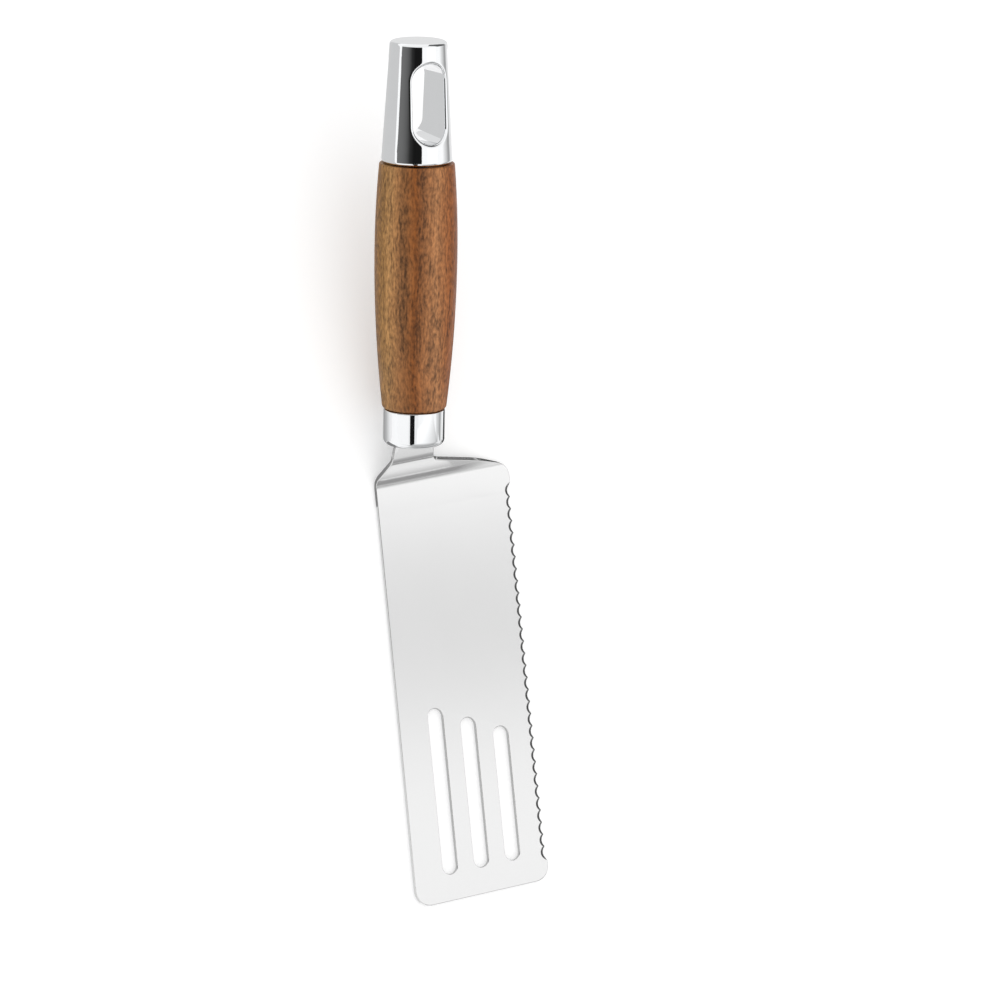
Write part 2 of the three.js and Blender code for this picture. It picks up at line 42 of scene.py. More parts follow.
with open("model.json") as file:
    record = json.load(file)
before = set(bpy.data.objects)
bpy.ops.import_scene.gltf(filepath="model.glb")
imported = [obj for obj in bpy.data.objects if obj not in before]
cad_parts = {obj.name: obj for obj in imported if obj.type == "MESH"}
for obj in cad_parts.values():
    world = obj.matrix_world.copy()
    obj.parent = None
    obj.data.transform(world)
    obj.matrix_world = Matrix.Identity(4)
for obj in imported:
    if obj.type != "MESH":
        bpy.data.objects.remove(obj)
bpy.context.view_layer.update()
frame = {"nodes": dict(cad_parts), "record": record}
print("nodes:", ", ".join(sorted(frame["nodes"])))

# %% [markdown]
# ## The camera
# A product picture of a long, thin tool is taken with a long lens from far away, so that near and far ends
# have the same scale. The camera could be placed by hand, with a constraint that tracks the object. Here it
# is placed by three plain turns about the point that it looks at, because those turns can be read: it leans
# to the spine's side, nods a little towards the handle, and rolls so that the handle stands almost upright.

# %% Place the camera
CAMERA_AIM = Vector((0.01153, 0.06006, 0.01897))
CAMERA_DISTANCE = 2.2
CAMERA_LEAN = math.radians(24.669)
CAMERA_NOD = math.radians(1.258)
CAMERA_ROLL = math.radians(-5.633)
PICTURE_WIDTH = 0.32011

camera_turn = Matrix.Rotation(-CAMERA_LEAN, 3, "Y")
camera_turn = camera_turn @ Matrix.Rotation(CAMERA_NOD, 3, "X")
camera_turn = camera_turn @ Matrix.Rotation(CAMERA_ROLL, 3, "Z")
to_camera = camera_turn @ Vector((0, 0, 1))

camera_data = bpy.data.cameras.new("picture_camera")
camera_data.lens = camera_data.sensor_width * CAMERA_DISTANCE / PICTURE_WIDTH
camera = bpy.data.objects.new("picture_camera", camera_data)
camera.matrix_world = Matrix.Translation(CAMERA_AIM + CAMERA_DISTANCE * to_camera) @ camera_turn.to_4x4()
bpy.context.scene.collection.objects.link(camera)
bpy.context.scene.camera = camera
bpy.context.scene.view_settings.view_transform = "Standard"
print("lens in mm:", round(camera_data.lens, 1))

# %% [markdown]
# ## The handle's own axes
# Ferrule, grip and end cap are turned about one line, so it pays to model them in axes of their own: Y along
# the handle from the front of the ferrule, Z out of the face with the hang slot. One matrix leads from those
# axes to the frame. The record's hang slot says where the line is.

# %% Find the handle
HANDLE_TILT = math.radians(15.3)
HANG_SLOT_AT = 0.11105

hang_slot = next(mount for mount in frame["record"]["mounts"] if mount["name"] == "hang_slot")
handle_way = Vector((0, math.cos(HANDLE_TILT), math.sin(HANDLE_TILT)))
handle_up = Vector(hang_slot["axis"]).normalized()
handle_side = handle_way.cross(handle_up)
handle_start = Vector(hang_slot["pos_m"]) - HANG_SLOT_AT * handle_way
handle_axes = Matrix((handle_side, handle_way, handle_up)).transposed()
handle_place = Matrix.Translation(handle_start) @ handle_axes.to_4x4()
print("handle starts at, in mm:", in_mm(*handle_start))

# %% [markdown]
# ## From a shape to a piece
# Each piece is built in a bmesh, which is quick to edit, and becomes an object at the end. Metal and turned
# wood are smooth but have real edges, so faces are shaded smooth, edges over an angle are marked sharp, and
# a Weighted Normal modifier lets the large flat faces keep their direction next to small rounds.

# %% Helpers that make pieces
SHARP_ANGLE = math.radians(35)


def make_object(name, shape, material=None, place=Matrix()):
    """An object from a bmesh, with its faces pointing out."""
    bmesh.ops.recalc_face_normals(shape, faces=shape.faces)
    mesh = bpy.data.meshes.new(name)
    shape.to_mesh(mesh)
    shape.free()
    if material is not None:
        mesh.materials.append(material)
    made = bpy.data.objects.new(name, mesh)
    bpy.context.scene.collection.objects.link(made)
    made.matrix_world = place
    return made


def cut_away(piece, tool):
    """Takes a tool's shape out of a piece; the cut faces get the tool's material."""
    bpy.context.view_layer.update()
    cut = piece.modifiers.new("cut", "BOOLEAN")
    cut.operation = "DIFFERENCE"
    cut.solver = "EXACT"
    cut.material_mode = "TRANSFER"
    cut.object = tool
    finished = piece.evaluated_get(bpy.context.evaluated_depsgraph_get())
    mesh = bpy.data.meshes.new_from_object(finished)
    piece.modifiers.clear()
    piece.data = mesh
    bpy.data.objects.remove(tool)


def finish_piece(piece, node):
    """Puts the piece's place into its mesh, shades it, and says what it rides on and stands for."""
    bpy.context.view_layer.update()
    piece.data.transform(piece.matrix_world)
    piece.matrix_world = Matrix()
    piece.data.shade_smooth()
    piece.data.set_sharp_from_angle(angle=SHARP_ANGLE)
    even = piece.modifiers.new("even normals", "WEIGHTED_NORMAL")
    even.keep_sharp = True
    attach(piece, "root")
    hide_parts(node)
    print(piece.name, "stands for", node, "with", len(piece.data.polygons), "faces")


print("edges stay sharp over", round(math.degrees(SHARP_ANGLE)), "degrees")

# %% [markdown]
# ## Finishes, and the noise under them
# No real surface has one flat colour. Each finish here is a Principled shader whose colour, roughness and
# bump follow a few stretched noises. Images would need unwrapped meshes; noise is read in the axes of the
# handle or of the blade, so it has a real scale in cycles per metre and runs along the piece.

# %% Helpers that make finishes
def add_node(tree, kind, inputs, **settings):
    """A new shader node with its settings; each input gets a value, or a link from an output."""
    node = tree.nodes.new("ShaderNode" + kind)
    for setting, value in settings.items():
        setattr(node, setting, value)
    for key, value in inputs.items():
        if isinstance(value, bpy.types.NodeSocket):
            tree.links.new(value, node.inputs[key])
        else:
            node.inputs[key].default_value = value
    return node


def object_place(tree):
    return tree.nodes.new("ShaderNodeTexCoord").outputs["Object"]


def new_finish(name, place=Matrix()):
    """An empty finish whose noise is read in the axes of a place: material, node tree and shader."""
    finish = bpy.data.materials.new(name)
    finish.use_nodes = True
    tree = finish.node_tree
    axes = {"Location": place.to_translation(), "Rotation": place.to_euler()}
    axes["Vector"] = object_place(tree)
    add_node(tree, "Mapping", axes, name="own space", vector_type="TEXTURE")
    return finish, tree, tree.nodes["Principled BSDF"]


def shifted(tree, shift):
    """Places in the finish's own axes, moved by a vector."""
    place = tree.nodes["own space"].outputs["Vector"]
    return add_node(tree, "VectorMath", {0: place, 1: shift}).outputs["Vector"]


def noise(tree, cycles, detail=2.0, warp=None):
    """Noise of so many cycles per metre along X, Y and Z; warp is a vector that shifts it."""
    place = tree.nodes["own space"].outputs["Vector"] if warp is None else shifted(tree, warp)
    stretched = add_node(tree, "Mapping", {"Vector": place, "Scale": cycles}).outputs["Vector"]
    return add_node(tree, "TexNoise", {"Vector": stretched, "Scale": 1.0, "Detail": detail}).outputs


def between(tree, value, low, high, start=0.3, end=0.7):
    """Maps a value from the range start to end onto the range low to high."""
    ends = {"From Min": start, "From Max": end, "To Min": low, "To Max": high}
    return add_node(tree, "MapRange", {"Value": value, **ends}).outputs["Result"]


def colours(tree, value, *stops):
    """A colour ramp with stops of (position, colour)."""
    ramp = add_node(tree, "ValToRGB", {"Fac": value})
    band = ramp.color_ramp
    while len(band.elements) < len(stops):
        band.elements.new(1.0)
    for element, (position, colour) in zip(band.elements, stops):
        element.position = position
        element.color = (*colour, 1.0)
    return ramp.outputs["Color"]


def greys(stops):
    """Stops of a colour ramp from pairs of (position, grey)."""
    return [(place, (grey, grey, grey)) for place, grey in stops]


def colours_along(tree, distance, stops):
    """A colour ramp along a distance, with stops of (distance in metres, colour)."""
    first, last = stops[0][0], stops[-1][0]
    share = between(tree, distance, 0.0, 1.0, first, last)
    return colours(tree, share, *[((place - first) / (last - first), colour) for place, colour in stops])


def blend(tree, value, other, share):
    """Mixes a share of another value into a value."""
    return add_node(tree, "Mix", {"Factor": share, "A": value, "B": other}).outputs["Result"]


def raise_grain(tree, shader, height, depth):
    """Bump of a real depth, in metres, from a height of 0 to 1."""
    bump = add_node(tree, "Bump", {"Distance": depth, "Height": height})
    tree.links.new(bump.outputs["Normal"], shader.inputs["Normal"])


def make_metal(tree, shader, colour, roughness, lines, depth):
    """Bare metal with fine lines of a real depth."""
    tree.links.new(colour, shader.inputs["Base Color"])
    tree.links.new(roughness, shader.inputs["Roughness"])
    raise_grain(tree, shader, lines, depth)
    shader.inputs["Metallic"].default_value = 1.0


print("finishes are mixed from noise in cycles per metre")

# %% [markdown]
# ### Steel of the blade
# The blade is stainless sheet with a satin roll finish: bright, slightly blurred, with very fine lines along
# its length. A brushed look can be had with anisotropy, but that needs tangents. Fine stretched noise in the
# roughness and a very shallow bump give the same soft blur on a flat sheet. The hollows of the cutting edge
# are ground, with coarser marks, and painted shade makes each darker in its middle, by which way its wall
# faces.

# %% Satin sheet and ground edge
SATIN_GREYS = ((0.3, 0.793), (0.7, 0.807))
# Painted shade on the ground hollows: their grey follows which way each wall faces, darkest in the middle.
HOLLOW_SHADE_FACING = 0.63
HOLLOW_PAINTED_SHADE_GREYS = ((0.15, 0.85), (0.25, 0.28), (0.55, 0.28), (0.7, 0.5), (0.85, 0.9))


def satin_sheet():
    finish, tree, shader = new_finish("satin_sheet")
    lines = noise(tree, (2600, 45, 2600), detail=3.0)["Fac"]
    clouds = noise(tree, (55, 22, 55))["Fac"]
    tone = blend(tree, lines, clouds, share=0.5)
    roughness = between(tree, tone, low=0.2, high=0.225)
    make_metal(tree, shader, colours(tree, tone, *greys(SATIN_GREYS)), roughness, lines, depth=1e-7)
    return finish


def ground_edge_and_painted_shade():
    """Ground steel with painted shade: its grey follows how far the wall of a hollow faces along the edge.
    """
    finish, tree, shader = new_finish("ground_edge_and_painted_shade")
    marks = noise(tree, (900, 900, 5200), detail=3.0)["Fac"]
    facing = tree.nodes.new("ShaderNodeNewGeometry").outputs["True Normal"]
    split = add_node(tree, "SeparateXYZ", {"Vector": facing})
    # Painted shade: how far each wall of a hollow faces along the edge sets its grey.
    flank_shade = between(tree, split.outputs["Y"], 1.0, 0.0, -HOLLOW_SHADE_FACING, HOLLOW_SHADE_FACING)
    tone = blend(tree, flank_shade, marks, share=0.3)
    steel = colours(tree, tone, *greys(HOLLOW_PAINTED_SHADE_GREYS))
    roughness = between(tree, marks, low=0.2, high=0.34)
    make_metal(tree, shader, steel, roughness, marks, depth=3e-6)
    return finish


satin_steel = satin_sheet()
ground_steel_and_painted_shade = ground_edge_and_painted_shade()
print("finishes:", satin_steel.name, ground_steel_and_painted_shade.name)

# %% [markdown]
# ## The blade
# The real blade is stamped as a flat blank, its edge is ground, and the neck is folded up in two bends. The
# mesh takes the same road. First the blank: an outline of straight lines whose corners are turned into arcs,
# with three drain slots and the hole for the cross pin. It could be drawn as a 2D curve with a bevel, but
# loops of vertices give the stamped edge its small round and can be folded afterwards.

# %% Sizes of the blank
SHEET = 0.0015
BLADE_WIDTH = 0.0473
SPINE_LENGTH = 0.1344
EDGE_LENGTH = 0.1345
SKEW = math.radians(5.8)
FRONT_CORNER_RADIUS = 0.005
HEEL_CORNER_RADIUS = 0.005
SHOULDER_SLOPE = math.radians(14)
SHOULDER_FILLET = 0.004
SPINE_HEEL_RADIUS = 0.006
SLOT_WIDTH = 0.00525
SLOT_PITCH = 0.01115
SLOT_ROW_OFFSET = 0.00035
SLOT_FRONT_MARGIN = 0.0085
SLOT_LENGTHS = (0.0533, 0.0483, 0.0433)
RISER_ANGLE = math.radians(60)
LOWER_BEND_RADIUS = 0.0045
UPPER_BEND_RADIUS = 0.0025
NECK_RISE = 0.0097
HANDLE_INSET = 0.01025
NECK_WIDTH = 0.0138
NECK_ROOT_WIDTH = 0.015
NECK_LENGTH = 0.0032
NECK_CORNER_RADIUS = 0.001
TANG_WIDTH = 0.01
TANG_LENGTH = 0.024
TANG_CORNER_RADIUS = 0.0012
PIN_RADIUS = 0.0012
PIN_AT = 0.015
CLEARANCE = 0.0003

half_width = BLADE_WIDTH / 2
half_spine = SPINE_LENGTH / 2
front_rise = BLADE_WIDTH * math.tan(SKEW)
print("front edge in mm:", in_mm(BLADE_WIDTH / math.cos(SKEW)))

# %% [markdown]
# ### The crank as a path
# Seen from the side, the sheet goes flat, bends up, runs straight up the riser and bends back to the slope
# of the neck. The bend lines are skewed to the blade, so the neck's pitch about them is a little more than
# the tilt of the handle. One function gives the place and slope of the sheet's middle at any distance.

# %% Work out the crank
skew_squared = math.tan(SKEW) ** 2
tilt_squared = math.sin(HANDLE_TILT) ** 2
neck_pitch = math.asin(math.sqrt(tilt_squared * (1 + skew_squared) / (1 + tilt_squared * skew_squared)))
lower_rise = LOWER_BEND_RADIUS * (1 - math.cos(RISER_ANGLE))
upper_rise = UPPER_BEND_RADIUS * (math.cos(neck_pitch) - math.cos(RISER_ANGLE))
riser_length = (NECK_RISE - lower_rise - upper_rise) / math.sin(RISER_ANGLE)
crank = (
    (LOWER_BEND_RADIUS * RISER_ANGLE, RISER_ANGLE),
    (riser_length, 0.0),
    (UPPER_BEND_RADIUS * (RISER_ANGLE - neck_pitch), neck_pitch - RISER_ANGLE),
)
crank_length = sum(length for length, turn in crank)
bend_line = Vector((math.cos(SKEW), math.sin(SKEW)))
across_bend = Vector((-math.sin(SKEW), math.cos(SKEW)))
bend_start = Vector((-half_width, half_spine))


def crank_at(distance):
    """How far along and up the sheet's middle has come, and its slope there."""
    along, rise, slope = min(distance, 0.0), 0.0, 0.0
    left = max(distance, 0.0)
    for length, turn in crank:
        part = min(left, length)
        bend = turn * part / length
        chord = part if bend == 0 else 2 * math.sin(bend / 2) * length / turn
        along += chord * math.cos(slope + bend / 2)
        rise += chord * math.sin(slope + bend / 2)
        slope += bend
        left -= part
    return along + left * math.cos(slope), rise + left * math.sin(slope), slope


def fold(point):
    """A point of the flat blank, carried to its place on the folded sheet."""
    from_start = point.to_2d() - bend_start
    along, rise, slope = crank_at(across_bend.dot(from_start))
    height = point.z - SHEET / 2
    place = bend_start + bend_line * bend_line.dot(from_start)
    place += across_bend * (along - height * math.sin(slope))
    return Vector((*place, SHEET / 2 + rise + height * math.cos(slope)))


print("riser in mm:", in_mm(riser_length), "neck pitch:", round(math.degrees(neck_pitch), 2))

# %% [markdown]
# ### The blank's outline
# Corner points with a radius each are easier to read and change than a list of arc points. The helper walks
# round them and puts a tangent arc in place of each corner, whichever way it turns.

# %% Draw the outline and the holes
ARC_STEP = math.radians(6)
SLOT_ARC_STEPS = 24

neck_sway = math.atan(math.cos(neck_pitch) * math.tan(SKEW))
neck_way = across_bend * math.cos(neck_sway) + bend_line * math.sin(neck_sway)
neck_side = Vector((neck_way.y, -neck_way.x))
root_reach = crank_at(crank_length)[0] * math.sin(SKEW)
neck_root = bend_start + bend_line * (HANDLE_INSET + root_reach) / math.cos(SKEW)
neck_root += across_bend * crank_length
neck_end = neck_root + neck_way * NECK_LENGTH


def even_steps(start, end, count):
    """Values from a start to an end in so many equal steps."""
    return [start + (end - start) * step / count for step in range(count + 1)]


def rounded_outline(corners):
    """Closed outline through (corner, radius) pairs, with a tangent arc at each corner."""
    outline = []
    for i, (corner, radius) in enumerate(corners):
        into = (corner - corners[i - 1][0]).normalized()
        out = (corners[(i + 1) % len(corners)][0] - corner).normalized()
        turn = math.atan2(into.cross(out), into.dot(out))
        start = corner - into * radius * math.tan(abs(turn) / 2)
        centre = start + Vector((-into.y, into.x)) * math.copysign(radius, turn)
        for angle in even_steps(0.0, turn, max(2, math.ceil(abs(turn) / ARC_STEP))):
            outline.append(centre + Matrix.Rotation(angle, 2) @ (start - centre))
    return outline


def neck_corner(along, side):
    """A corner so far along the neck from its end, and so far to its side."""
    return neck_end + neck_way * along + neck_side * side


def shoulder_corner(heel):
    """Where the shoulder line from the heel meets the side of the neck."""
    slope = Vector((-math.cos(SHOULDER_SLOPE), math.sin(SHOULDER_SLOPE)))
    gap = neck_corner(0, NECK_WIDTH / 2) - heel
    return heel + slope * gap.cross(neck_way) / slope.cross(neck_way)


def blank_outline():
    heel = Vector((half_width, EDGE_LENGTH + front_rise - half_spine))
    spine_heel = Vector((-half_width, half_spine + LOWER_BEND_RADIUS * RISER_ANGLE / 2))
    tang_end = TANG_LENGTH + CLEARANCE
    return rounded_outline((
        (Vector((-half_width, -half_spine)), FRONT_CORNER_RADIUS),
        (Vector((half_width, front_rise - half_spine)), FRONT_CORNER_RADIUS),
        (heel, HEEL_CORNER_RADIUS),
        (shoulder_corner(heel), SHOULDER_FILLET),
        (neck_corner(0, NECK_WIDTH / 2), NECK_CORNER_RADIUS),
        (neck_corner(0, TANG_WIDTH / 2), NECK_CORNER_RADIUS),
        (neck_corner(tang_end, TANG_WIDTH / 2), TANG_CORNER_RADIUS),
        (neck_corner(tang_end, -TANG_WIDTH / 2), TANG_CORNER_RADIUS),
        (neck_corner(0, -TANG_WIDTH / 2), NECK_CORNER_RADIUS),
        (neck_corner(0, -NECK_WIDTH / 2), NECK_CORNER_RADIUS),
        (neck_corner(-NECK_LENGTH, -NECK_ROOT_WIDTH / 2), NECK_CORNER_RADIUS),
        (spine_heel, SPINE_HEEL_RADIUS),
    ))


def slot_outline(middle, half_length, radius):
    """Round-ended slot along Y, walked the other way round so that it is a hole."""
    outline = []
    for end, start in ((half_length - radius, math.pi), (radius - half_length, 0.0)):
        for angle in even_steps(start, start - math.pi, SLOT_ARC_STEPS):
            outline.append(middle + Vector((radius * math.cos(angle), end + radius * math.sin(angle))))
    return outline


def blank_holes():
    pin_hole = PIN_RADIUS + CLEARANCE
    holes = [slot_outline(neck_corner(CLEARANCE + PIN_AT, 0), pin_hole, pin_hole)]
    for i, length in enumerate(SLOT_LENGTHS):
        x = SLOT_ROW_OFFSET + (i - (len(SLOT_LENGTHS) - 1) / 2) * SLOT_PITCH
        front = (x + half_width) * math.tan(SKEW) - half_spine + SLOT_FRONT_MARGIN
        holes.append(slot_outline(Vector((x, front + length / 2)), length / 2, SLOT_WIDTH / 2))
    return holes


outline = blank_outline()
holes = blank_holes()
print("outline points:", len(outline), "holes:", len(holes))

# %% [markdown]
# ### From outline to sheet
# A stamped edge isn't a knife edge: it has a small round on both faces, which catches the light as a thin
# line. Each loop is repeated at several heights, drawn in by the round, and the loops are joined by quads.
# The two faces are filled between the outline and its holes.

# %% Build the flat sheet
EDGE_ROUND = 0.00022
EDGE_ROUND_STEPS = 3
SAME_PLACE = 1e-7


def drawn_in(loop, distance):
    """The loop moved to its left, into the metal."""
    moved = []
    for i, point in enumerate(loop):
        way = (loop[(i + 1) % len(loop)] - loop[i - 1]).normalized()
        moved.append(point + Vector((-way.y, way.x)) * distance)
    return moved


def round_over(radius, steps):
    """How far a rounded edge is drawn in, and how deep it lies, from the face to the side."""
    angles = even_steps(0.0, math.pi / 2, steps)
    return [(radius * (1 - math.sin(angle)), radius * (1 - math.cos(angle))) for angle in angles]


def edge_section():
    """How far the stamped edge is drawn in, and at which height, from the underside up."""
    lower = round_over(EDGE_ROUND, EDGE_ROUND_STEPS)
    return lower + [(inset, SHEET - height) for inset, height in reversed(lower)]


def ring_edges(ring):
    return list(zip(ring, ring[1:] + ring[:1]))


def join_rings(shape, rings):
    """Quads between each ring of vertices and the next."""
    for lower, upper in zip(rings, rings[1:]):
        for (a, b), (d, c) in zip(ring_edges(lower), ring_edges(upper)):
            shape.faces.new((a, b, c, d))


def flat_sheet(loops):
    shape = bmesh.new()
    rims = ([], [])
    for loop in loops:
        rings = []
        for inset, height in edge_section():
            rings.append([shape.verts.new((*point, height)) for point in drawn_in(loop, inset)])
        join_rings(shape, rings)
        for rim, ring in zip(rims, (rings[0], rings[-1])):
            rim.extend(shape.edges.get(pair) for pair in ring_edges(ring))
    for rim in rims:
        bmesh.ops.triangle_fill(shape, edges=rim, use_beauty=True)
    return shape


def without_doubles(loop):
    """The loop without points that repeat the one before."""
    return [point for i, point in enumerate(loop) if (point - loop[i - 1]).length > SAME_PLACE]


sheet = flat_sheet([without_doubles(loop) for loop in [outline] + holes])
blade = make_object("blade_sheet", sheet, satin_steel)
print("flat sheet faces:", len(blade.data.polygons))

# %% [markdown]
# ### The ground edge
# The serrations are hollows ground into one long edge by a small wheel that leans over the top face. Thirty
# or so overlapping cylinders would do, but a boolean likes a clean tool better: the same hollows drawn as
# one scalloped profile and pushed through the sheet along the wheel's leaning axis.

# %% Grind the edge
TOOTH_PITCH = 0.00391
TOOTH_HOLLOW_RADIUS = 0.0031
TOOTH_DEPTH = 0.00075
TOOTH_GRIND_ANGLE = math.radians(43)
EDGE_PLAIN = 0.0064
HOLLOW_STEPS = 16


def scalloped_profile(count, middle):
    """Points (along the edge, towards the wheel's middle) of a row of hollows."""
    points = []
    for i in range(count):
        centre = middle + (i - (count - 1) / 2) * TOOTH_PITCH
        start = -TOOTH_HOLLOW_RADIUS if i == 0 else -TOOTH_PITCH / 2
        end = TOOTH_HOLLOW_RADIUS if i == count - 1 else TOOTH_PITCH / 2
        for y in even_steps(start, end, HOLLOW_STEPS)[:None if i == count - 1 else -1]:
            points.append((centre + y, -math.sqrt(max(TOOTH_HOLLOW_RADIUS ** 2 - y ** 2, 0.0))))
    first, last = points[0][0], points[-1][0]
    return points + [(last, TOOTH_HOLLOW_RADIUS), (first, TOOTH_HOLLOW_RADIUS)]


def grinding_tool():
    count = math.floor((EDGE_LENGTH - 2 * EDGE_PLAIN) / TOOTH_PITCH)
    middle = EDGE_LENGTH / 2 + front_rise - half_spine
    lean = Vector((-math.sin(TOOTH_GRIND_ANGLE), 0, math.cos(TOOTH_GRIND_ANGLE)))
    across = Vector((math.cos(TOOTH_GRIND_ANGLE), 0, math.sin(TOOTH_GRIND_ANGLE)))
    wheel_x = half_width - TOOTH_DEPTH + TOOTH_HOLLOW_RADIUS / math.cos(TOOTH_GRIND_ANGLE)
    reach = 2 * (SHEET + TOOTH_HOLLOW_RADIUS)
    shape = bmesh.new()
    rings = []
    for end in (-reach, reach):
        base = Vector((wheel_x, 0, 0)) + lean * end
        ring = [base + across * q + Vector((0, y, 0)) for y, q in scalloped_profile(count, middle)]
        rings.append([shape.verts.new(point) for point in ring])
    join_rings(shape, rings)
    for ring in rings:
        shape.faces.new(ring)
    print("hollows:", count)
    return make_object("grinding_tool", shape, ground_steel_and_painted_shade)


cut_away(blade, grinding_tool())

# %% [markdown]
# ### Folding the neck up
# A sheet can bend only where it has vertices. So the mesh is first cut along many lines that run with the
# bends, and then every vertex goes through the fold. A Simple Deform modifier could bend one straight line,
# but not two skewed ones in a row.

# %% Fold the blade
BEND_STEPS = 20


def bend_stations():
    """Distances past the first bend line where the sheet gets a row of vertices."""
    stations = [0.0]
    start = 0.0
    for length, turn in crank:
        steps = BEND_STEPS if turn else 1
        stations.extend(start + length * step / steps for step in range(1, steps + 1))
        start += length
    return stations


def fold_up(piece):
    shape = bmesh.new()
    shape.from_mesh(piece.data)
    normal = across_bend.to_3d()
    for station in bend_stations():
        everything = shape.verts[:] + shape.edges[:] + shape.faces[:]
        point = (bend_start + across_bend * station).to_3d()
        bmesh.ops.bisect_plane(shape, geom=everything, dist=SAME_PLACE, plane_co=point, plane_no=normal)
    for vertex in shape.verts:
        vertex.co = fold(vertex.co)
    shape.to_mesh(piece.data)
    shape.free()


fold_up(blade)
finish_piece(blade, "blade")

# %% [markdown]
# ## Turning on a lathe
# Ferrule and grip are bodies of revolution. A profile of (radius, place along the handle) points is spun
# about Y, as a lathe would do it. The Screw modifier does the same without code, but the spun bmesh can be
# closed, welded and cut at once.

# %% A lathe
ROUND_SIDES = 160
QUARTER_STEPS = 10


def quarter(centre, radius, start, end):
    """Round of a profile about a centre, from one heading to another in degrees."""
    points = []
    for angle in map(math.radians, even_steps(start, end, QUARTER_STEPS)):
        points.append((centre[0] + radius * math.cos(angle), centre[1] + radius * math.sin(angle)))
    return points


def turned(profile):
    shape = bmesh.new()
    points = [shape.verts.new((radius, along, 0)) for radius, along in profile]
    edges = [shape.edges.new(pair) for pair in zip(points, points[1:])]
    bmesh.ops.spin(
        shape, geom=points + edges, cent=(0, 0, 0), axis=(0, 1, 0),
        angle=2 * math.pi, steps=ROUND_SIDES, use_merge=True)
    bmesh.ops.remove_doubles(shape, verts=shape.verts, dist=SAME_PLACE)
    return shape


def tang_slot_tool(start, end):
    """A block along the handle that leaves the tang its clearance."""
    shape = bmesh.new()
    size = Matrix.Diagonal((TANG_WIDTH + 2 * CLEARANCE, end - start, SHEET + 2 * CLEARANCE, 1))
    bmesh.ops.create_cube(shape, size=1.0, matrix=Matrix.Translation((0, (start + end) / 2, 0)) @ size)
    return make_object("slot_tool", shape, place=handle_place)


print("sides of a round piece:", ROUND_SIDES)

# %% [markdown]
# ## The ferrule
# A short cup of polished stainless steel hides the joint between wood and blade. It is drawn from sheet, so
# it has a thin wall and a soft front edge. The tang goes through a slot in its floor. Polished steel is a
# mirror: most of its look is what it reflects, and a trace of turning lines keeps it from being perfect.

# %% Polished finish and ferrule
FERRULE_RADIUS = 0.0098
FERRULE_LENGTH = 0.0116
FERRULE_WALL = 0.0012
FERRULE_FRONT = 0.0016
FERRULE_FILLET = 0.0022
LIP_ROUND = 0.0003

tenon_front = FERRULE_FRONT + CLEARANCE


def polished_metal(name, dark, light, roughness):
    """A mirror with faint polishing lines round the handle and a little haze."""
    finish, tree, shader = new_finish(name, handle_place)
    lines = noise(tree, (60, 9000, 60), detail=2.0)["Fac"]
    haze = noise(tree, (130, 130, 130), detail=4.0)["Fac"]
    tone = blend(tree, lines, haze, share=0.6)
    metal = colours(tree, tone, (0.3, dark), (0.7, light))
    blur = between(tree, tone, low=roughness * 0.7, high=roughness * 1.3)
    make_metal(tree, shader, metal, blur, lines, depth=3e-7)
    return finish


def ferrule_profile():
    bore = FERRULE_RADIUS - FERRULE_WALL
    lip = (FERRULE_RADIUS - LIP_ROUND, FERRULE_LENGTH - LIP_ROUND)
    return [
        (0.0, 0.0),
        *quarter((FERRULE_RADIUS - FERRULE_FILLET, FERRULE_FILLET), FERRULE_FILLET, -90, 0),
        *quarter(lip, LIP_ROUND, 0, 90),
        (bore, FERRULE_LENGTH),
        (bore, FERRULE_FRONT),
        (0.0, FERRULE_FRONT),
    ]


polished_steel = polished_metal("polished_steel", (0.83, 0.84, 0.85), (0.86, 0.87, 0.88), 0.05)
ferrule = make_object("polished_ferrule", turned(ferrule_profile()), polished_steel, handle_place)
cut_away(ferrule, tang_slot_tool(-FERRULE_FRONT, tenon_front))
finish_piece(ferrule, "ferrule")

# %% [markdown]
# ## The wood
# The grip is a red-brown hardwood with interlocked grain. Cut along the trunk, it shows broad ribbons of
# lighter and darker wood, fine fibres, and short dark pores that slant to and fro. Each of these is a noise
# of its own scale, stretched along the handle; a slow wave bends them all a little, as grain does. Their
# colours come from bands across the grip, partly growth layers and partly painted highlights at both sides
# of painted shade in the middle.

# %% Oiled hardwood
# Colours across the grip, partly growth layers and partly painted light: painted highlights to both sides of
# painted shade in the middle.
LAYER_AND_LIGHT_ACROSS = (0.892, 0.0, 0.452)
LAYER_AND_LIGHT_COLOURS = (
    (-0.0130, (0.26, 0.120, 0.034)),
    (-0.0105, (0.29, 0.145, 0.042)),
    (-0.0084, (0.37, 0.190, 0.066)),
    (-0.0064, (0.33, 0.155, 0.054)),
    (-0.0048, (0.24, 0.103, 0.034)),
    (0.0000, (0.19, 0.059, 0.011)),
    (0.0038, (0.275, 0.108, 0.034)),
    (0.0070, (0.345, 0.148, 0.053)),
    (0.0105, (0.26, 0.082, 0.018)),
    (0.0130, (0.23, 0.068, 0.014)),
)
DARK_GRAIN = 0.38
LIGHT_GRAIN = 1.6
GRAIN_SWAY = 0.003
# A Mix node has sockets of the same name for numbers and colours, so those for colours go by their places
MIX_SHARE, MIX_DARK, MIX_LIGHT, MIX_COLOUR = 0, 6, 7, 2


def layer_and_light_colours(tree, place, brightness):
    """Colours across the grip in nearly flat sheets: growth layers, with painted highlights towards both
    sides and painted shade down the middle.
    """
    across = add_node(tree, "VectorMath", {0: place, 1: LAYER_AND_LIGHT_ACROSS}, operation="DOT_PRODUCT")
    stops = [(layer, [part * brightness for part in colour]) for layer, colour in LAYER_AND_LIGHT_COLOURS]
    return colours_along(tree, across.outputs["Value"], stops)


